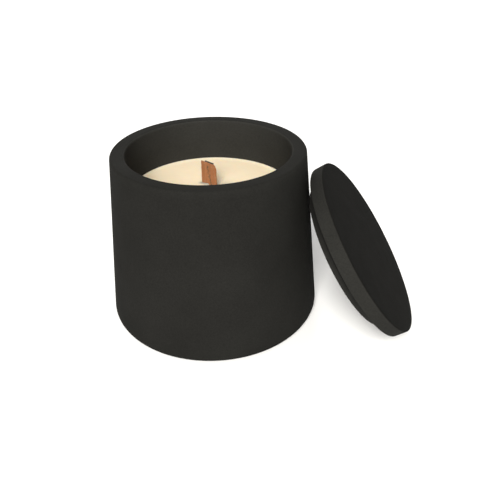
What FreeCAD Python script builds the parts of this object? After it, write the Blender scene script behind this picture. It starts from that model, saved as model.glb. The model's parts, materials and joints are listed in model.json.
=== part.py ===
import FreeCAD, Part
import os
from math import cos, radians, sin, tan

from FreeCAD import Rotation, Vector

# Lidded candle: a thick-walled cast vessel with a wax fill and a wooden wick, and its round
# lid standing on edge beside it, leaning on the vessel's wall.
# Millimetres, +Z up. The origin is the centre of the vessel's foot, on the table.

# Vessel
RIM_R = 44.0  # outside radius of the rim
FOOT_R = 52.0  # outside radius that the wall would have at the table
VESSEL_H = 82.0
RIM_OUTER_ROUND = 1.3
RIM_INNER_ROUND = 1.2
FOOT_ROUND = 3.5
MOUTH_R = 37.4  # cylindrical mouth that the lid's plug drops into
MOUTH_DEPTH = 9.0
FLOOR_T = 7.0
INNER_FLOOR_R = 44.2  # inside radius that the wall would have at the floor
INNER_FLOOR_ROUND = 5.0
LABEL_RECESS_R = 33.0
LABEL_RECESS_DEPTH = 1.0
LABEL_RECESS_ROUND = 0.4

# Blank paper label in the recess under the foot
LABEL_R = 30.0
LABEL_T = 0.15

# Wax
WAX_TOP = 61.0

# Wick clip on its adhesive pad, on the vessel's floor
PAD_R = 9.0
PAD_T = 0.8
CLIP_R = 10.0
CLIP_T = 0.3
JAW_H = 8.0
JAW_W = 9.0

# Wooden wick: a wide blade with a narrower booster strip glued behind it
WICK_TURN = 47.0  # how far its face is turned about +Z, from -Y towards -X
WICK_LEAN_SIDE = 4.5  # lean within its own plane
WICK_LEAN_BACK = 4.1  # lean across its own plane
BLADE_W = 9.6
BLADE_T = 0.9
BLADE_ABOVE_WAX = 10.8  # at the middle of its width
TOP_SLANT = 0.8  # how far the top edge drops from the blade's left side to its right
CHIP_W = 1.4  # split off the blade's top right corner
CHIP_H = 1.6
BOOSTER_W = 5.5
BOOSTER_T = 0.7
BOOSTER_SHIFT = -0.4  # the strip isn't glued quite in the middle
BOOSTER_PROUD = 0.3  # it stands above the blade

# Lid
LID_R = 42.8
LID_T = 6.5
LID_TOP_ROUND = 0.7
LID_UNDER_ROUND = 0.5
PLUG_R = 34.0
PLUG_T = 5.2
PLUG_ROUND = 0.4
SEAL_GAP = 2.0  # open groove between the flange and the seal
SEAL_R = 35.7
SEAL_T = 2.7
SEAL_SEAT_DEPTH = 1.0  # how deep the seal sits in the plug's side
SEAL_ROUND = 0.5
LID_LEAN = 34.0  # how far its outer face looks up from level
LID_FACING = -13.4  # where its outer face looks, about +Z from +X
LID_BEARING = -15.2  # the side of the vessel that it stands at, about +Z from +X
LID_CLEARANCE = 0.3  # air between the lid and the vessel's wall

APPROACH_FROM = 2 * FOOT_R  # how far out from the vessel's axis the lid starts
APPROACH_STEPS = 6  # moves that then bring it up to the vessel

TRIM_SIZE = 2 * VESSEL_H  # side of the block that keeps only what is above a level

UP = Vector(0, 0, 1)
CENTRE = Vector(0, 0, 0)


def corner(before, at, after, radius):
    """The two tangent points and the middle of an arc that rounds the corner at `at`."""
    back = (before - at).normalize()
    ahead = (after - at).normalize()
    half = back.getAngle(ahead) / 2
    reach = radius / tan(half)
    middle = at + (back + ahead).normalize() * (radius / sin(half) - radius)
    return at + back * reach, middle, at + ahead * reach


def turned(profile):
    """A solid of revolution about +Z from corners of (radius, height, rounding)."""
    points = [Vector(r, 0, z) for r, z, _ in profile]
    edges = []
    start = last = None
    for i, (_, _, rounding) in enumerate(profile):
        at = points[i]
        if rounding:
            first, middle, end = corner(points[i - 1], at, points[(i + 1) % len(points)], rounding)
        else:
            first = end = at
        if last is not None:
            edges.append(Part.LineSegment(last, first).toShape())
        else:
            start = first
        if rounding:
            edges.append(Part.Arc(first, middle, end).toShape())
        last = end
    edges.append(Part.LineSegment(last, start).toShape())
    return Part.Face(Part.Wire(edges)).revolve(CENTRE, UP, 360)


def plate(outline, front_y, thickness):
    """An upright plate facing -Y, from the (x, z) corners of its face."""
    corners = [Vector(x, front_y, z) for x, z in outline]
    return Part.Face(Part.makePolygon(corners + corners[:1])).extrude(Vector(0, thickness, 0))


def above(shape, level):
    """The part of a shape that is higher than a level."""
    keep = Part.makeBox(TRIM_SIZE, TRIM_SIZE, TRIM_SIZE, Vector(-TRIM_SIZE / 2, -TRIM_SIZE / 2, level))
    return shape.common(keep)


def vessel():
    return turned([
        (0, LABEL_RECESS_DEPTH, 0),
        (LABEL_RECESS_R, LABEL_RECESS_DEPTH, 0),
        (LABEL_RECESS_R, 0, LABEL_RECESS_ROUND),
        (FOOT_R, 0, FOOT_ROUND),
        (RIM_R, VESSEL_H, RIM_OUTER_ROUND),
        (MOUTH_R, VESSEL_H, RIM_INNER_ROUND),
        (MOUTH_R, VESSEL_H - MOUTH_DEPTH, 0),
        (INNER_FLOOR_R, FLOOR_T, INNER_FLOOR_ROUND),
        (0, FLOOR_T, 0),
    ])


def wax_blank():
    """The vessel's inside up to the wax line, before the wick and its clip take their room."""
    rise = (WAX_TOP - FLOOR_T) / (VESSEL_H - MOUTH_DEPTH - FLOOR_T)
    top_r = INNER_FLOOR_R + (MOUTH_R - INNER_FLOOR_R) * rise
    return turned([
        (0, FLOOR_T, 0),
        (INNER_FLOOR_R, FLOOR_T, INNER_FLOOR_ROUND),
        (top_r, WAX_TOP, 0),
        (0, WAX_TOP, 0),
    ])


def label():
    return Part.makeCylinder(LABEL_R, LABEL_T, Vector(0, 0, LABEL_RECESS_DEPTH - LABEL_T))


def leaning_wick(shape):
    """Lean and turn a wick piece about the middle of the clip's base."""
    clip_top = Vector(0, 0, FLOOR_T + PAD_T + CLIP_T)
    posed = shape.copy()
    posed.rotate(clip_top, Vector(1, 0, 0), -WICK_LEAN_BACK)
    posed.rotate(clip_top, Vector(0, 1, 0), -WICK_LEAN_SIDE)
    posed.rotate(clip_top, UP, -WICK_TURN)
    return posed


def blade_and_booster(root, middle_top):
    """The blade and its booster upright, with the booster behind the blade."""
    drop = TOP_SLANT / BLADE_W
    side = BLADE_W / 2
    chip_x = side - CHIP_W
    blade = plate([
        (-side, root),
        (side, root),
        (side, middle_top - drop * side - CHIP_H),
        (chip_x, middle_top - drop * chip_x),
        (-side, middle_top + drop * side),
    ], -BLADE_T, BLADE_T)
    left = BOOSTER_SHIFT - BOOSTER_W / 2
    right = BOOSTER_SHIFT + BOOSTER_W / 2
    booster = plate([
        (left, root),
        (right, root),
        (right, middle_top - drop * right + BOOSTER_PROUD),
        (left, middle_top - drop * left + BOOSTER_PROUD),
    ], 0, BOOSTER_T)
    return blade, booster


def wick_pieces():
    """The clip, its pad, the blade and the booster."""
    clip_bottom = FLOOR_T + PAD_T
    clip_top = clip_bottom + CLIP_T
    root = clip_top - JAW_H / 2  # below the clip's base, and trimmed off there
    stretch = 1 / (cos(radians(WICK_LEAN_SIDE)) * cos(radians(WICK_LEAN_BACK)))
    middle_top = clip_top + (WAX_TOP + BLADE_ABOVE_WAX - clip_top) * stretch
    blade, booster = [above(leaning_wick(strip), clip_top) for strip in blade_and_booster(root, middle_top)]

    clip = Part.makeCylinder(CLIP_R, CLIP_T, Vector(0, 0, clip_bottom))
    jaw_side = JAW_W / 2
    jaw_top = clip_top + JAW_H
    jaw_face = [(-jaw_side, root), (jaw_side, root), (jaw_side, jaw_top), (-jaw_side, jaw_top)]
    for front in (-BLADE_T - CLIP_T, BOOSTER_T):
        jaw = leaning_wick(plate(jaw_face, front, CLIP_T))
        clip = clip.fuse(above(jaw, clip_bottom))
    clip = clip.removeSplitter()

    pad = Part.makeCylinder(PAD_R, PAD_T, Vector(0, 0, FLOOR_T))
    return clip, pad, blade, booster


def lid_profiles():
    """The lid and its seal upright, outer face up at z = 0 and the plug below it."""
    under = -LID_T
    plug_end = under - PLUG_T
    seal_top = under - SEAL_GAP
    seal_end = seal_top - SEAL_T
    seat_r = PLUG_R - SEAL_SEAT_DEPTH
    cap = turned([
        (0, plug_end, 0),
        (PLUG_R, plug_end, PLUG_ROUND),
        (PLUG_R, seal_end, 0),
        (seat_r, seal_end, 0),
        (seat_r, seal_top, 0),
        (PLUG_R, seal_top, 0),
        (PLUG_R, under, 0),
        (LID_R, under, LID_UNDER_ROUND),
        (LID_R, 0, LID_TOP_ROUND),
        (0, 0, 0),
    ])
    seal = turned([
        (seat_r, seal_end, 0),
        (SEAL_R, seal_end, SEAL_ROUND),
        (SEAL_R, seal_top, SEAL_ROUND),
        (seat_r, seal_top, 0),
    ])
    return cap, seal


def leaning_lid(wall):
    """The lid and its seal, standing on edge on the table and leaning on the vessel."""
    pieces = [shape.copy() for shape in lid_profiles()]
    for piece in pieces:
        piece.rotate(CENTRE, Vector(0, 1, 0), 90 - LID_LEAN)
        piece.rotate(CENTRE, UP, LID_FACING)
    lowest = min(piece.optimalBoundingBox(False).ZMin for piece in pieces)
    outward = Rotation(UP, LID_BEARING).multVec(Vector(1, 0, 0))
    for piece in pieces:
        piece.translate(outward * APPROACH_FROM - UP * lowest)
    for _ in range(APPROACH_STEPS):
        gap = min(piece.distToShape(wall)[0] for piece in pieces)
        for piece in pieces:
            piece.translate(outward * (LID_CLEARANCE - gap))
    return pieces


def write(name, shape):
    shape.exportStep("parts/" + name + ".step")


def main():
    os.makedirs("parts", exist_ok=True)
    body = vessel()
    clip, pad, blade, booster = wick_pieces()
    wax = wax_blank().cut([clip, pad, blade, booster])
    cap, seal = leaning_lid(body)
    write("jar_body", body)
    write("base_label", label())
    write("wax_fill", wax)
    write("wick_clip", clip)
    write("wick_pad", pad)
    write("wick_blade", blade)
    write("wick_booster", booster)
    write("lid_cap", cap)
    write("lid_seal", seal)


main()
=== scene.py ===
import json
import math

import bpy
from mathutils import Matrix, Vector, noise


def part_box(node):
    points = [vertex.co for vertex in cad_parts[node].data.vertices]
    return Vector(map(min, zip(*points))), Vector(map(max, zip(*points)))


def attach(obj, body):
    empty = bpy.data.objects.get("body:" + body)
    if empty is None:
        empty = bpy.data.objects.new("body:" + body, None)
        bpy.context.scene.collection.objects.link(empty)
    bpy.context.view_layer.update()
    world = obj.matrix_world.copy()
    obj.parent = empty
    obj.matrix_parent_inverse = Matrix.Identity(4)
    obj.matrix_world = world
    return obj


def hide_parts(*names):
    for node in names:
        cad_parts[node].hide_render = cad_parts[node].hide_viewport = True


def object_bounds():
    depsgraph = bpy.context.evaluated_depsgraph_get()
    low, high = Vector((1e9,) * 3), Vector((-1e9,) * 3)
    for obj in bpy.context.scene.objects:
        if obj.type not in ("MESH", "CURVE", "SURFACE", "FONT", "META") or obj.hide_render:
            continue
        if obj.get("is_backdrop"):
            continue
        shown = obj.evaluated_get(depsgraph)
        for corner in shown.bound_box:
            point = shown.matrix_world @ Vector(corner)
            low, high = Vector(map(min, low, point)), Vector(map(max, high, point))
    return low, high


# A lidded candle: cast vessel, wax, wooden wick, and the lid leaning on the vessel's side.
# Metres, +Z up, the origin at the centre of the vessel's foot.

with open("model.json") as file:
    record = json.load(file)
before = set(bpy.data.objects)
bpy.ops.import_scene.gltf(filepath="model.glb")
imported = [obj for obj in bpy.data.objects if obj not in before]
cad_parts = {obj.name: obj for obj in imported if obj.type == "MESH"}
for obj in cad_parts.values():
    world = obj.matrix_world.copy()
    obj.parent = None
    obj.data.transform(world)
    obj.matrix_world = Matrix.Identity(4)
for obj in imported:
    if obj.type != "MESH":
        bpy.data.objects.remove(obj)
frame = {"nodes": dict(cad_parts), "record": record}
cad_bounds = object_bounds()
MM = 0.001

# Vessel, as the CAD model has it; its height, mouth and wax line come from the frame
RIM_R = 44 * MM
FOOT_R = 52 * MM
RIM_OUTER_ROUND = 1.3 * MM
RIM_INNER_ROUND = 1.2 * MM
FOOT_ROUND = 3.5 * MM
INNER_FLOOR_R = 44.2 * MM
INNER_FLOOR_ROUND = 5 * MM
RECESS_R = 33 * MM
RECESS_ROUND = 0.4 * MM

# Lid, upright: outer face at z = 0, plug below
LID_R = 42.8 * MM
LID_T = 6.5 * MM
LID_TOP_ROUND = 0.7 * MM
LID_UNDER_ROUND = 0.5 * MM
PLUG_R = 34 * MM
PLUG_T = 5.2 * MM
PLUG_ROUND = 0.4 * MM
SEAL_GAP = 2 * MM
SEAL_R = 35.7 * MM
SEAL_T = 2.7 * MM
SEAL_SEAT_R = 33 * MM
SEAL_ROUND = 0.5 * MM
SEAL_INNER_ROUND = 0.1 * MM
LID_LEAN = 34.0  # degrees that its outer face looks up from level
LID_FACING = -13.4  # where its outer face looks, in degrees about +Z from +X

# How finely the turned pieces are cut
TURN_SEGMENTS = 240
WAX_SEGMENTS = 200
CAST_SPACING = 2.5 * MM
WAX_SPACING = 0.5 * MM
SEAL_SPACING = 0.6 * MM
VESSEL_ARC_STEPS = 8
LID_ARC_STEPS = 6
WAX_ARC_STEPS = 6
SEAL_ARC_STEPS = 5

# Slow unevenness of the castings: its depth, its waves per metre, and where each starts in the noise
VESSEL_WAVE_DEPTH = 0.06 * MM
LID_WAVE_DEPTH = 0.05 * MM
CAST_WAVES = 28
VESSEL_SEED = 3.1
LID_SEED = 8.4

# Painted light and shade, as a share of the tone of the vessel's outside: the inside, the rim and the
# lid's side band are painted lighter, the lid's face and plug darker, for how light falls on them
RIM_PAINTED_LIGHT = 1.07
INSIDE_PAINTED_LIGHT = 1.85
LID_FACE_PAINTED_SHADE = 0.65
LID_SIDE_PAINTED_LIGHT = 1.42
LID_PLUG_PAINTED_SHADE = 0.92
LEVEL_SLACK = 0.1 * MM  # how far the cast surface may stray past a level that parts two tones of painted light and shade
WALL_SLACK = 1.5 * MM  # the same for the inner wall; it takes in the straight mouth as well

# Wick, upright and facing -Y before it leans
WICK_TURN = 47.0  # degrees that its face is turned about +Z, from -Y towards -X
WICK_LEAN_SIDE = 4.5  # degrees within its own plane
WICK_LEAN_BACK = 4.1  # degrees across its own plane
BLADE_W = 9.6 * MM
BLADE_T = 0.9 * MM
BLADE_ABOVE_WAX = 10.8 * MM
TOP_SLANT = 0.8 * MM
CHIP_W = 1.4 * MM
CHIP_H = 1.6 * MM
BOOSTER_W = 5.5 * MM
BOOSTER_T = 0.7 * MM
BOOSTER_SHIFT = -0.4 * MM
BOOSTER_PROUD = 0.3 * MM
WICK_FOOT_LIFT = 0.4 * MM  # keeps the leaning strips' square feet above the clip's base
STRIP_COLUMNS = 26
STRIP_ROWS = 60
STRIP_BEVEL = 0.12  # of the strip's thickness
BLADE_WOBBLE = 0.22 * MM
BOOSTER_WOBBLE = 0.05 * MM
BLADE_SEED = 2.0
BOOSTER_SEED = 6.0
EDGE_WAVES = 700  # per metre, up a strip's edges
FACE_WAVES_ACROSS = 9  # over a strip's width
FACE_WAVES_UP = 90  # per metre
FACE_WOBBLE_SHARE = 0.6  # of the edges' wobble
CUT_FIBRES = 3000  # per metre, along a strip's top edge
BLADE_FIBRE_H = 0.14 * MM
BLADE_FIBRE_SEED = 4.0
BOOSTER_FIBRE_H = 0.12 * MM
BOOSTER_FIBRE_SEED = 9.0
CHIP_CURVE = 1.7

# Wax: it climbs the wall, draws up round the wick, and has a fold on the blade's face
CLIMB_H = 0.5 * MM
CLIMB_REACH = 1.6 * MM
COLLAR_H = 0.35 * MM
COLLAR_REACH = 1.5 * MM
FOLD_H = 0.8 * MM
FOLD_REACH = 0.9 * MM
FOLD_RISE = 0.9  # of the blade's half width, over which the fold grows from its left edge
FOLD_END = 1.1  # half widths from the left edge to where the fold ends
FOLD_FALL = 0.2  # half widths over which it fades out
WAX_WAVE_H = 0.10 * MM
WAX_WAVES = 60
WAX_SINK = 0.15 * MM  # keeps the waves under the CAD fill's level; the climbs and the fold pass it
WAX_TOP_BAND = 0.2 * MM  # points this close to the top are its surface
WAX_WALL_OVERLAP = 0.05 * MM
WAX_FOOT_GAP = 0.6 * MM
WAX_FLOOR_GAP = 0.1 * MM

# Painted shadow on the wax: grey close round the wick's foot, and a wider, weaker painted shadow beside
# the wick
WICK_SHADOW_REACH = 1.3 * MM
PAINTED_SHADOW_PLACE = (6 * MM, 4 * MM)
PAINTED_SHADOW_REACH = 5.5 * MM
PAINTED_SHADOW_SHARE = 0.50

# Dark line in the blade's grain, measured from the blade's top middle
VEIN_START = 1.0 * MM
VEIN_START_X = -0.9 * MM
VEIN_SLOPE = 0.24
VEIN_JAG = 0.9 * MM
VEIN_HALF_W = 0.46 * MM
VEIN_CORE = 0.4  # share of its half width that is fully dark

# Linear colours; a pair is the darker and the lighter of a noise's tones
CHARCOAL = (0.0118, 0.0116, 0.0105), (0.0142, 0.0140, 0.0127)
VESSEL_SPECKLE = 0.20
LID_SPECKLE = 0.28
SEAL_BLACK = (0.0124, 0.0121, 0.0108), (0.0158, 0.0154, 0.0138)
CREAM = (0.785, 0.662, 0.472), (0.825, 0.700, 0.506)
# the grey of the wax's painted shadow round the wick
WAX_SHADOW_GREY = (0.16, 0.157, 0.150)
BLADE_COLOURS = {
    "pale": (0.282, 0.115, 0.047),
    "deep": (0.214, 0.084, 0.034),
    "pore": (0.66, 0.58, 0.52),
    "fleck": (0.36, 0.28, 0.21),
}
BOOSTER_COLOURS = {
    "pale": (0.060, 0.050, 0.042),
    "deep": (0.030, 0.026, 0.022),
    "pore": (0.6, 0.55, 0.5),
    "fleck": (0.09, 0.08, 0.07),
}
VEIN_COLOUR = (0.075, 0.058, 0.034)
STEEL = (0.50, 0.50, 0.49), (0.66, 0.66, 0.65)
FOAM = (0.72, 0.72, 0.70), (0.86, 0.86, 0.84)
PAPER = (0.80, 0.79, 0.76), (0.88, 0.87, 0.84)

# Stage: a softbox in front, a weaker one low behind, and a dim even fill
LIGHT_TARGET = Vector((0, 0, 0.04))
LIGHT_DISTANCE = 4.0
KEY_LIGHT = {"azimuth": -10, "elevation": 37, "size": 2.0, "power": 282, "tint": (1.0, 0.98, 0.94)}
BACK_LIGHT = {"azimuth": 180, "elevation": 22, "size": 1.6, "power": 90, "tint": (1.0, 0.985, 0.95)}
FILL_STRENGTH = 0.42
FLOOR_HALF = 6.0
FLOOR_COLOUR = (0.9, 0.9, 0.895, 1)

# Camera: heading from +Y towards +X and pitch below level, in degrees; lens and sensor in millimetres
CAMERA_PLACE = Vector((0, -227.2, 172.4)) * MM
CAMERA_HEADING = 3.35
CAMERA_PITCH = 31.54
CAMERA_ROLL = -1.13
CAMERA_LENS = 40.18
CAMERA_SENSOR = 36
CAMERA_CLIP = 0.01


# ---------------------------------------------------------------- mesh helpers

def new_piece(name, verts, faces, smooth=True):
    """A mesh object; each point keeps its own place before posing in the attribute "local"."""
    mesh = bpy.data.meshes.new(name)
    mesh.from_pydata([tuple(v) for v in verts], [], faces)
    mesh.validate()
    kept = mesh.attributes.new("local", "FLOAT_VECTOR", "POINT")
    for item, point in zip(kept.data, verts):
        item.vector = tuple(point)
    for polygon in mesh.polygons:
        polygon.use_smooth = smooth
    piece = bpy.data.objects.new(name, mesh)
    bpy.context.scene.collection.objects.link(piece)
    return piece


def rounded_outline(corners, spacing, arc_steps):
    """Points along a half section given as (radius, height, rounding), with its rounds as arcs."""
    groups = []
    for i, (r, z, rounding) in enumerate(corners):
        at = Vector((r, z))
        if not rounding:
            groups.append([at])
            continue
        back = (Vector(corners[i - 1][:2]) - at).normalized()
        ahead = (Vector(corners[(i + 1) % len(corners)][:2]) - at).normalized()
        half = back.angle(ahead) / 2
        reach = rounding / math.tan(half)
        centre = at + (back + ahead).normalized() * (rounding / math.sin(half))
        first = at + back * reach - centre
        last = at + ahead * reach - centre
        turn = first.angle_signed(last)
        arc = []
        for step in range(arc_steps + 1):
            arc.append(centre + Matrix.Rotation(-turn * step / arc_steps, 2) @ first)
        groups.append(arc)
    points = []
    for group in groups:
        if points:
            start = points[-1]
            gap = (group[0] - start).length
            steps = max(1, round(gap / spacing))
            for step in range(1, steps):
                points.append(start.lerp(group[0], step / steps))
        points.extend(group)
    return points


def lathe(name, outline, segments, shape):
    """Turn an outline that starts and ends on the axis about +Z; shape(point) moves each point."""
    verts = [shape(Vector((0, 0, outline[0].y)))]
    faces = []
    rings = outline[1:-1]
    for point in rings:
        for k in range(segments):
            angle = 2 * math.pi * k / segments
            verts.append(shape(Vector((point.x * math.cos(angle), point.x * math.sin(angle), point.y))))
    verts.append(shape(Vector((0, 0, outline[-1].y))))
    last = len(verts) - 1
    top = 1 + (len(rings) - 1) * segments
    for k in range(segments):
        after = (k + 1) % segments
        faces.append((0, 1 + after, 1 + k))
        for j in range(len(rings) - 1):
            low, high = 1 + j * segments, 1 + (j + 1) * segments
            faces.append((low + k, low + after, high + after, high + k))
        faces.append((top + k, top + after, last))
    return new_piece(name, verts, faces)


def ring_lathe(name, outline, segments):
    """Turn a closed outline that stays off the axis about +Z."""
    verts, faces = [], []
    count = len(outline)
    for k in range(segments):
        angle = 2 * math.pi * k / segments
        for point in outline:
            verts.append(Vector((point.x * math.cos(angle), point.x * math.sin(angle), point.y)))
    for k in range(segments):
        near, far = k * count, (k + 1) % segments * count
        for j in range(count):
            after = (j + 1) % count
            faces.append((near + j, far + j, far + after, near + after))
    return new_piece(name, verts, faces)


def add_values(piece, name, value_at):
    """Keep value_at(point) of each point in a float attribute."""
    kept = piece.data.attributes.new(name, "FLOAT", "POINT")
    for vertex, item in zip(piece.data.vertices, kept.data):
        item.value = value_at(vertex.co)


def move_mesh(piece, matrix):
    piece.data.transform(matrix)
    piece.data.update()


def centre_on(piece, node):
    """Shift a piece so that its box is centred on a CAD node's box."""
    low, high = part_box(node)
    points = [v.co for v in piece.data.vertices]
    own_low = Vector([min(p[i] for p in points) for i in range(3)])
    own_high = Vector([max(p[i] for p in points) for i in range(3)])
    shift = (low + high) / 2 - (own_low + own_high) / 2
    move_mesh(piece, Matrix.Translation(shift))
    return shift


# ---------------------------------------------------------------- material helpers

class Paint:
    """Builds one Principled material on the piece's own "local" coordinates, in metres.

    A noise's scale is its cells per metre, and a bump's distance is in metres.
    """

    def __init__(self, name, **sockets):
        self.material = bpy.data.materials.new(name)
        self.material.use_nodes = True
        self.tree = self.material.node_tree
        self.shader = self.tree.nodes["Principled BSDF"]
        self.place = self.node("ShaderNodeAttribute", attribute_name="local").outputs["Vector"]
        for socket, value in sockets.items():
            self.shader.inputs[socket.replace("_", " ")].default_value = value

    def node(self, kind, **settings):
        made = self.tree.nodes.new(kind)
        for key, value in settings.items():
            setattr(made, key, value)
        return made

    def link(self, source, target):
        self.tree.links.new(source, target)

    def stretched(self, scale):
        """The place, scaled per axis: a scale under 1 draws a noise out along that axis."""
        made = self.node("ShaderNodeMapping")
        made.inputs["Scale"].default_value = scale
        self.link(self.place, made.inputs["Vector"])
        return made.outputs["Vector"]

    def noise(self, scale, detail=3, rough=0.5, source=None, distortion=0.0):
        made = self.node("ShaderNodeTexNoise")
        made.inputs["Scale"].default_value = scale
        made.inputs["Detail"].default_value = detail
        made.inputs["Roughness"].default_value = rough
        made.inputs["Distortion"].default_value = distortion
        self.link(source or self.place, made.inputs["Vector"])
        return made.outputs["Fac"]

    def ramp(self, source, *stops):
        """A colour from stops of (place, colour)."""
        made = self.node("ShaderNodeValToRGB")
        elements = made.color_ramp.elements
        while len(elements) < len(stops):
            elements.new(0.5)
        for element, (place, colour) in zip(elements, stops):
            element.position = place
            element.color = (*colour, 1)
        self.link(source, made.inputs["Fac"])
        return made.outputs["Color"]

    def span(self, source, low, high, from_low=0.0, from_high=1.0):
        """A value's range from_low to from_high, mapped to low to high and clamped there."""
        made = self.node("ShaderNodeMapRange")
        limits = {"From Min": from_low, "From Max": from_high, "To Min": low, "To Max": high}
        for socket, value in limits.items():
            made.inputs[socket].default_value = value
        self.link(source, made.inputs["Value"])
        return made.outputs["Result"]

    def maths(self, operation, a, b=None):
        made = self.node("ShaderNodeMath", operation=operation)
        for socket, value in zip(made.inputs, (a, b)):
            if value is None:
                continue
            if isinstance(value, (int, float)):
                socket.default_value = value
            else:
                self.link(value, socket)
        return made.outputs[0]

    def mix(self, factor, a, b, blend="MIX"):
        made = self.node("ShaderNodeMix", data_type="RGBA", blend_type=blend)
        for socket, value in ((made.inputs[0], factor), (made.inputs[6], a), (made.inputs[7], b)):
            if isinstance(value, (int, float)):
                socket.default_value = value
            elif isinstance(value, tuple):
                socket.default_value = (*value, 1)
            else:
                self.link(value, socket)
        return made.outputs[2]

    def bump(self, height, distance, strength, onto=None):
        made = self.node("ShaderNodeBump")
        made.inputs["Distance"].default_value = distance
        made.inputs["Strength"].default_value = strength
        self.link(height, made.inputs["Height"])
        if onto:
            self.link(onto, made.inputs["Normal"])
        return made.outputs["Normal"]

    def colour(self, source):
        self.link(source, self.shader.inputs["Base Color"])

    def roughness(self, source):
        self.link(source, self.shader.inputs["Roughness"])

    def normal(self, source):
        self.link(source, self.shader.inputs["Normal"])


def give(piece, material):
    piece.data.materials.clear()
    piece.data.materials.append(material)


def ceramic(name, speckle):
    """Matte charcoal casting: cloudy tone, powdery speckle, fine tooth; a per-surface factor of painted
    light and shade scales its tone.
    """
    paint = Paint(name, Specular_IOR_Level=0.02)
    dark, light = CHARCOAL
    tone = paint.ramp(paint.noise(38, detail=4, rough=0.55), (0.3, dark), (0.7, light))
    powder = paint.noise(1500, detail=3, rough=0.7)
    tone = paint.mix(1.0, tone, paint.span(powder, 1 - speckle, 1 + speckle, 0.25, 0.75), "MULTIPLY")
    # painted light and shade: the tone is multiplied by a per-surface factor that stands in for how
    # light falls
    painted_shading = paint.node("ShaderNodeAttribute", attribute_name="painted_shading").outputs["Fac"]
    paint.colour(paint.mix(1.0, tone, painted_shading, "MULTIPLY"))
    paint.roughness(paint.span(paint.noise(120, detail=3), 0.78, 0.90))
    tooth = paint.bump(powder, 0.00006, 0.6)
    paint.normal(paint.bump(paint.noise(220, detail=3), 0.00008, 0.5, onto=tooth))
    return paint.material


def wax_material():
    """Creamy poured wax: soft, faintly mottled, a little light under the surface."""
    paint = Paint("wax", Subsurface_Weight=0.35, Subsurface_Scale=0.004, Specular_IOR_Level=0.35)
    paint.shader.inputs["Subsurface Radius"].default_value = (1.0, 0.62, 0.32)
    dark, light = CREAM
    tone = paint.ramp(paint.noise(90, detail=4, rough=0.6), (0.3, dark), (0.7, light))
    # painted shadow: the cream is mixed towards grey round the wick's foot and in a patch beside it
    painted_wick_shadow = paint.node("ShaderNodeAttribute", attribute_name="painted_wick_shadow").outputs["Fac"]
    paint.colour(paint.mix(paint.span(painted_wick_shadow, 0.0, 0.8), tone, WAX_SHADOW_GREY))
    paint.roughness(paint.span(paint.noise(260, detail=3), 0.42, 0.56))
    fine = paint.bump(paint.noise(1500, detail=2), 0.00002, 0.4)
    paint.normal(paint.bump(paint.noise(160, detail=3), 0.0001, 0.4, onto=fine))
    return paint.material


def wood(name, pale, deep, pore, fleck, vein=None):
    """Thin-cut wood, its grain up the strip; vein is the height that a dark line runs down from."""
    paint = Paint(name, Specular_IOR_Level=0.15)
    along = paint.stretched((1, 1, 0.06))
    grain = paint.noise(900, detail=5, rough=0.65, source=along, distortion=0.4)
    tone = paint.ramp(grain, (0.30, deep), (0.62, pale))
    pores = paint.ramp(paint.noise(2600, detail=3, rough=0.7, source=paint.stretched((1, 1, 0.03))),
                       (0.60, (1, 1, 1)), (0.72, pore))
    tone = paint.mix(0.6, tone, pores, "MULTIPLY")
    flecks = paint.noise(2100, detail=2, rough=0.6, source=paint.stretched((1, 1, 0.6)))
    tone = paint.mix(paint.span(flecks, 0.0, 0.60, 0.61, 0.70), tone, fleck)
    if vein:
        tone = paint.mix(vein_mask(paint, vein), tone, VEIN_COLOUR)
    paint.colour(tone)
    paint.roughness(paint.span(grain, 0.85, 0.6))
    paint.normal(paint.bump(grain, 0.00012, 0.6))
    return paint.material


def vein_mask(paint, top):
    """How far a point is in a jagged line that runs from near the top middle down to the right."""
    split = paint.node("ShaderNodeSeparateXYZ")
    paint.link(paint.place, split.inputs[0])
    x, z = split.outputs["X"], split.outputs["Z"]
    height_only = paint.stretched((0, 0, 1))
    depth = paint.maths("SUBTRACT", top, z)
    middle = paint.maths("ADD", paint.maths("MULTIPLY", depth, VEIN_SLOPE), VEIN_START_X)
    jag = paint.noise(1000, detail=2, source=height_only)
    middle = paint.maths("ADD", middle, paint.span(jag, -VEIN_JAG, VEIN_JAG, 0.32, 0.68))
    off = paint.maths("ABSOLUTE", paint.maths("SUBTRACT", x, middle))
    line = paint.span(off, 1.0, 0.0, VEIN_HALF_W * VEIN_CORE, VEIN_HALF_W)
    starts = paint.span(depth, 0.0, 1.0, VEIN_START, VEIN_START + VEIN_HALF_W)
    breaks = paint.span(paint.noise(420, detail=2, source=height_only), 0.55, 0.95, 0.40, 0.52)
    return paint.maths("MULTIPLY", paint.maths("MULTIPLY", line, starts), breaks)


def rubber_material():
    """Satin black seal, faintly uneven."""
    paint = Paint("seal_rubber", Specular_IOR_Level=0.08)
    dark, light = SEAL_BLACK
    paint.colour(paint.ramp(paint.noise(300, detail=3), (0.3, dark), (0.7, light)))
    paint.roughness(paint.span(paint.noise(500), 0.60, 0.75))
    paint.normal(paint.bump(paint.noise(2500, detail=2), 0.00002, 0.4))
    return paint.material


def on_object(paint):
    """Use object coordinates, for CAD nodes that carry no "local" attribute."""
    paint.place = paint.node("ShaderNodeTexCoord").outputs["Object"]
    return paint


def steel_material():
    """Tinned steel, brushed along Y."""
    paint = on_object(Paint("clip_steel", Metallic=1.0))
    dark, light = STEEL
    streaks = paint.noise(500, detail=4, source=paint.stretched((1, 0.05, 1)))
    paint.colour(paint.ramp(streaks, (0.3, dark), (0.7, light)))
    paint.roughness(paint.span(streaks, 0.28, 0.42))
    return paint.material


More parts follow.
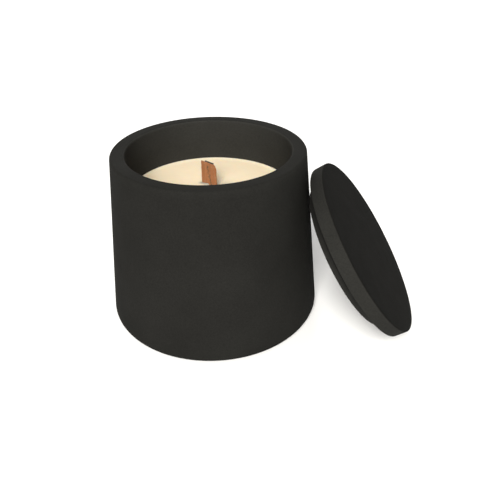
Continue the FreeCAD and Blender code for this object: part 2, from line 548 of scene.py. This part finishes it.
def foam_material():
    """White foam with fine open cells."""
    paint = on_object(Paint("pad_foam"))
    dark, light = FOAM
    cells = paint.noise(2400, detail=2)
    paint.colour(paint.ramp(cells, (0.35, dark), (0.65, light)))
    paint.roughness(paint.span(cells, 0.8, 0.95))
    paint.normal(paint.bump(cells, 0.0001, 0.6))
    return paint.material


def paper_material():
    """Blank paper with a fibrous tone and surface."""
    paint = on_object(Paint("label_paper", Specular_IOR_Level=0.2))
    dark, light = PAPER
    fibres = paint.noise(1400, detail=5, rough=0.7)
    paint.colour(paint.ramp(fibres, (0.3, dark), (0.7, light)))
    paint.roughness(paint.span(fibres, 0.7, 0.85))
    paint.normal(paint.bump(fibres, 0.00003, 0.5))
    return paint.material


# ---------------------------------------------------------------- pieces

def mount(name):
    return next(m for m in frame["record"]["mounts"] if m["name"] == name)


def cast_surface(depth, seed):
    """The slow unevenness of a hand-finished casting, in and out from the axis."""
    def shape(point):
        flat = Vector((point.x, point.y, 0))
        if not flat.length:
            return point
        wave = noise.noise(point * CAST_WAVES + Vector((seed, 0, 0)))
        return point + flat.normalized() * wave * depth
    return shape


mouth = mount("mouth")
mouth_r = mouth["dims"]["r_mm"] * MM
vessel_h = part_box("jar_body")[1].z
mouth_low = vessel_h - RIM_INNER_ROUND - mouth["dims"]["length_mm"] * MM
floor_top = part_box("wick_pad")[0].z
wax_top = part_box("wax_fill")[1].z
recess_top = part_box("base_label")[1].z
wick_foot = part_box("wick_blade")[0].z


def inner_wall_r(height):
    """Inside radius of the flared wall at a height."""
    share = (height - floor_top) / (mouth_low - floor_top)
    return INNER_FLOOR_R + (mouth_r - INNER_FLOOR_R) * share


def make_jar(material):
    """The cast vessel, with the recess under its foot."""
    outline = rounded_outline([
        (0, recess_top, 0),
        (RECESS_R, recess_top, 0),
        (RECESS_R, 0, RECESS_ROUND),
        (FOOT_R, 0, FOOT_ROUND),
        (RIM_R, vessel_h, RIM_OUTER_ROUND),
        (mouth_r, vessel_h, RIM_INNER_ROUND),
        (mouth_r, mouth_low, 0),
        (INNER_FLOOR_R, floor_top, INNER_FLOOR_ROUND),
        (0, floor_top, 0),
    ], CAST_SPACING, VESSEL_ARC_STEPS)
    piece = lathe("jar", outline, TURN_SEGMENTS, cast_surface(VESSEL_WAVE_DEPTH, VESSEL_SEED))

    # Painted light: the inside and the rim are painted lighter than the outside, standing in for the
    # light that falls on them
    def painted_shading(point):
        r = Vector((point.x, point.y)).length
        if point.z > floor_top - LEVEL_SLACK and r < inner_wall_r(point.z) + WALL_SLACK:
            return INSIDE_PAINTED_LIGHT
        return RIM_PAINTED_LIGHT if point.z > vessel_h - RIM_OUTER_ROUND else 1.0

    add_values(piece, "painted_shading", painted_shading)
    give(piece, material)
    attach(piece, "vessel")
    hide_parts("jar_body")


def make_wax(material):
    """The poured fill: its top climbs the wall a little and draws up round the wick."""
    edge_r = inner_wall_r(wax_top) + WAX_WALL_OVERLAP
    foot_r = inner_wall_r(floor_top) - WAX_FOOT_GAP
    lean = math.tan(math.radians(WICK_LEAN_SIDE)), math.tan(math.radians(WICK_LEAN_BACK))
    turn = Matrix.Rotation(math.radians(-WICK_TURN), 2)
    wick_place = turn @ Vector((-lean[0], lean[1])) * (wax_top - wick_foot)

    def across_wick(point):
        """Place along the blade's width and thickness, from where it leaves the wax."""
        return turn.inverted() @ (Vector((point.x, point.y)) - wick_place)

    def fold_share(point):
        """The blade's face carries a fold of wax that grows from its left edge to its middle."""
        across = across_wick(point)
        along = 1 + across.x / (BLADE_W / 2)
        share = min(along / FOLD_RISE, (FOLD_END - along) / FOLD_FALL)
        return min(max(share, 0), 1) if across.y < 0 else 0

    def from_wick(point):
        """Distance from the blade and its backing at the wax's level."""
        across = across_wick(point)
        off_x = max(abs(across.x) - BLADE_W / 2, 0)
        off_y = max(abs(across.y) - BLADE_T, 0)
        return math.hypot(off_x, off_y)

    def shape(point):
        if point.z < wax_top - WAX_TOP_BAND:
            return point
        r = Vector((point.x, point.y)).length
        lift = CLIMB_H * math.exp(-(edge_r - r) / CLIMB_REACH * 2)
        lift += COLLAR_H * math.exp(-from_wick(point) / COLLAR_REACH * 2)
        lift += FOLD_H * fold_share(point) * math.exp(-(from_wick(point) / FOLD_REACH) ** 2)
        lift += WAX_WAVE_H * noise.noise(point * WAX_WAVES)
        return point + Vector((0, 0, lift - WAX_SINK))

    outline = rounded_outline([
        (0, floor_top + WAX_FLOOR_GAP, 0),
        (foot_r, floor_top + WAX_FLOOR_GAP, INNER_FLOOR_ROUND),
        (edge_r, wax_top, 0),
        (0, wax_top, 0),
    ], WAX_SPACING, WAX_ARC_STEPS)
    piece = lathe("wax", outline, WAX_SEGMENTS, shape)

    # Painted shadow: how far the wax is greyed round the wick's foot and in a soft patch beside it
    def painted_shadow_share(point):
        off_patch = (Vector((point.x, point.y)) - Vector(PAINTED_SHADOW_PLACE)).length
        patch = PAINTED_SHADOW_SHARE * math.exp(-(off_patch / PAINTED_SHADOW_REACH) ** 2)
        return max(math.exp(-(from_wick(point) / WICK_SHADOW_REACH) ** 2), patch)

    add_values(piece, "painted_wick_shadow", painted_shadow_share)
    give(piece, material)
    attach(piece, "vessel")
    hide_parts("wax_fill")


def wick_pose():
    """Lean and turn about the middle of the clip, as the CAD wick does."""
    pivot = Vector((0, 0, wick_foot))
    back = Matrix.Rotation(math.radians(-WICK_LEAN_BACK), 4, "X")
    side = Matrix.Rotation(math.radians(-WICK_LEAN_SIDE), 4, "Y")
    turn = Matrix.Rotation(math.radians(-WICK_TURN), 4, "Z")
    return Matrix.Translation(pivot) @ turn @ side @ back @ Matrix.Translation(-pivot)


def strip(name, width, thickness, centre_x, front_y, bottom, top_at, wobble, seed):
    """An upright strip of little thickness, with cut fibres along its top edge and slightly uneven
    faces.
    """
    columns, rows = STRIP_COLUMNS, STRIP_ROWS
    verts, faces = [], []
    for side in range(2):
        for j in range(rows + 1):
            for i in range(columns + 1):
                u = i / columns - 0.5
                top = top_at(u)
                share = j / rows
                z = bottom + (top - bottom) * share
                edge = noise.noise(Vector((seed, z * EDGE_WAVES, 0))) * wobble * 2 * u
                face_place = Vector((u * FACE_WAVES_ACROSS, z * FACE_WAVES_UP, seed))
                face = noise.noise(face_place) * wobble * FACE_WOBBLE_SHARE
                bevel = STRIP_BEVEL * thickness if i in (0, columns) or j == rows else 0
                y = front_y + (bevel if side == 0 else thickness - bevel) + face
                verts.append(Vector((centre_x + u * width + edge, y, z)))
    per_side = (columns + 1) * (rows + 1)

    def at(side, i, j):
        return side * per_side + j * (columns + 1) + i

    for j in range(rows):
        for i in range(columns):
            faces.append((at(0, i, j), at(0, i + 1, j), at(0, i + 1, j + 1), at(0, i, j + 1)))
            faces.append((at(1, i, j), at(1, i, j + 1), at(1, i + 1, j + 1), at(1, i + 1, j)))
        faces.append((at(0, 0, j), at(0, 0, j + 1), at(1, 0, j + 1), at(1, 0, j)))
        end = columns
        faces.append((at(0, end, j), at(1, end, j), at(1, end, j + 1), at(0, end, j + 1)))
    for i in range(columns):
        faces.append((at(0, i, rows), at(0, i + 1, rows), at(1, i + 1, rows), at(1, i, rows)))
        faces.append((at(0, i, 0), at(1, i, 0), at(1, i + 1, 0), at(0, i + 1, 0)))
    piece = new_piece(name, verts, faces, smooth=False)
    move_mesh(piece, wick_pose())
    return piece


def wick_top():
    """Height of the upright blade's top edge at the middle of its width."""
    stretch = 1 / (math.cos(math.radians(WICK_LEAN_SIDE)) * math.cos(math.radians(WICK_LEAN_BACK)))
    return wick_foot + (wax_top + BLADE_ABOVE_WAX - wick_foot) * stretch


def make_wick(blade_material, booster_material):
    """The blade with its slanted, chipped top, and the narrower strip behind it."""
    bottom = wick_foot + WICK_FOOT_LIFT
    middle_top = wick_top()
    drop = TOP_SLANT / BLADE_W

    def blade_top(u):
        along = u * BLADE_W
        fibres = BLADE_FIBRE_H * noise.noise(Vector((along * CUT_FIBRES, BLADE_FIBRE_SEED, 0)))
        chip = max(0, along - (BLADE_W / 2 - CHIP_W)) / CHIP_W
        return middle_top - drop * along + fibres - CHIP_H * chip ** CHIP_CURVE

    def booster_top(u):
        along = BOOSTER_SHIFT + u * BOOSTER_W
        fibres = BOOSTER_FIBRE_H * noise.noise(Vector((along * CUT_FIBRES, BOOSTER_FIBRE_SEED, 0)))
        return middle_top - drop * along + BOOSTER_PROUD + fibres

    blade = strip("wick", BLADE_W, BLADE_T, 0, -BLADE_T, bottom, blade_top, BLADE_WOBBLE, BLADE_SEED)
    give(blade, blade_material)
    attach(blade, "vessel")
    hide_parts("wick_blade")
    booster = strip("wick_backing", BOOSTER_W, BOOSTER_T, BOOSTER_SHIFT, 0, bottom, booster_top,
                    BOOSTER_WOBBLE, BOOSTER_SEED)
    give(booster, booster_material)
    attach(booster, "vessel")
    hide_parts("wick_booster")


def make_lid(lid_material, seal_material):
    """The lid and its seal, turned upright and then tipped to lean as the CAD lid does."""
    plug_end = -LID_T - PLUG_T
    seal_top = -LID_T - SEAL_GAP
    seal_end = seal_top - SEAL_T
    cap_outline = rounded_outline([
        (0, plug_end, 0),
        (PLUG_R, plug_end, PLUG_ROUND),
        (PLUG_R, seal_end, 0),
        (SEAL_SEAT_R, seal_end, 0),
        (SEAL_SEAT_R, seal_top, 0),
        (PLUG_R, seal_top, 0),
        (PLUG_R, -LID_T, 0),
        (LID_R, -LID_T, LID_UNDER_ROUND),
        (LID_R, 0, LID_TOP_ROUND),
        (0, 0, 0),
    ], CAST_SPACING, LID_ARC_STEPS)
    cap = lathe("lid", cap_outline, TURN_SEGMENTS, cast_surface(LID_WAVE_DEPTH, LID_SEED))

    # Painted light and shade: the lid's face is painted darker, its side band lighter and its plug
    # darker
    def painted_shading(point):
        if point.z > -LID_TOP_ROUND / 2:
            return LID_FACE_PAINTED_SHADE
        return LID_SIDE_PAINTED_LIGHT if point.z > -LID_T - LEVEL_SLACK else LID_PLUG_PAINTED_SHADE

    add_values(cap, "painted_shading", painted_shading)
    seal_outline = rounded_outline([
        (SEAL_SEAT_R, seal_end, SEAL_INNER_ROUND),
        (SEAL_R, seal_end, SEAL_ROUND),
        (SEAL_R, seal_top, SEAL_ROUND),
        (SEAL_SEAT_R, seal_top, SEAL_INNER_ROUND),
    ], SEAL_SPACING, SEAL_ARC_STEPS)
    seal = ring_lathe("lid_ring", seal_outline, TURN_SEGMENTS)
    tip = Matrix.Rotation(math.radians(90 - LID_LEAN), 4, "Y")
    turn = Matrix.Rotation(math.radians(LID_FACING), 4, "Z")
    for piece in (cap, seal):
        move_mesh(piece, turn @ tip)
    shift = centre_on(cap, "lid_cap")
    move_mesh(seal, Matrix.Translation(shift))
    for piece, material, node, slot in ((cap, lid_material, "lid_cap", "lid_ceramic"),
                                        (seal, seal_material, "lid_seal", "seal_rubber")):
        give(piece, material)
        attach(piece, "lid")
        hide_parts(node)


# ---------------------------------------------------------------- stage

def make_floor():
    """A plain pale floor."""
    paint = Paint("floor_paper")
    paint.shader.inputs["Base Color"].default_value = FLOOR_COLOUR
    paint.shader.inputs["Roughness"].default_value = 0.9
    half = FLOOR_HALF
    corners = [(-half, -half, 0), (half, -half, 0), (half, half, 0), (-half, half, 0)]
    floor = new_piece("floor", corners, [(0, 1, 2, 3)])
    give(floor, paint.material)
    floor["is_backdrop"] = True


def make_light(name, azimuth, elevation, size, power, tint):
    """A square softbox; azimuth 0 is on the camera's side (-Y), and positive goes to +X."""
    a, e = math.radians(azimuth), math.radians(elevation)
    towards = Vector((math.sin(a) * math.cos(e), -math.cos(a) * math.cos(e), math.sin(e)))
    place = LIGHT_TARGET + LIGHT_DISTANCE * towards
    data = bpy.data.lights.new(name, "AREA")
    data.shape = "SQUARE"
    data.size = size
    data.energy = power
    data.color = tint
    light = bpy.data.objects.new(name, data)
    light.location = place
    light.rotation_euler = (LIGHT_TARGET - place).to_track_quat("-Z", "Y").to_euler()
    bpy.context.scene.collection.objects.link(light)


def make_world(strength):
    """An even, dim white fill from all round."""
    world = bpy.data.worlds.new("studio")
    world.use_nodes = True
    background = world.node_tree.nodes["Background"]
    background.inputs["Color"].default_value = (1, 1, 1, 1)
    background.inputs["Strength"].default_value = strength
    bpy.context.scene.world = world


def make_camera():
    """The camera at the photograph's viewing angle."""
    heading = math.radians(CAMERA_HEADING)
    pitch = math.radians(CAMERA_PITCH)
    roll = math.radians(CAMERA_ROLL)
    level = Vector((math.sin(heading), math.cos(heading), 0))
    forward = level * math.cos(pitch) - Vector((0, 0, math.sin(pitch)))
    right = Vector((math.cos(heading), -math.sin(heading), 0))
    up = right.cross(forward)
    turned_right = math.cos(roll) * right + math.sin(roll) * up
    turned_up = math.cos(roll) * up - math.sin(roll) * right
    pose = Matrix((turned_right, turned_up, -forward)).transposed().to_4x4()
    pose.translation = CAMERA_PLACE
    data = bpy.data.cameras.new("camera")
    data.sensor_width = CAMERA_SENSOR
    data.lens = CAMERA_LENS
    data.clip_start = CAMERA_CLIP
    camera = bpy.data.objects.new("camera", data)
    camera.matrix_world = pose
    bpy.context.scene.collection.objects.link(camera)
    bpy.context.scene.camera = camera


make_camera()
make_world(FILL_STRENGTH)
make_light("key", **KEY_LIGHT)
make_light("back", **BACK_LIGHT)
make_floor()
bpy.context.scene.view_settings.view_transform = "Standard"

make_jar(ceramic("vessel_ceramic", VESSEL_SPECKLE))
make_wax(wax_material())
make_wick(wood("wick_wood", **BLADE_COLOURS, vein=wick_top()), wood("booster_wood", **BOOSTER_COLOURS))
make_lid(ceramic("lid_ceramic", LID_SPECKLE), rubber_material())

give(frame["nodes"]["wick_clip"], steel_material())
give(frame["nodes"]["wick_pad"], foam_material())
give(frame["nodes"]["base_label"], paper_material())

sizes = {"cad": cad_bounds, "visual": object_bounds()}
{key: [list(corner) for corner in corners] for key, corners in sizes.items()}
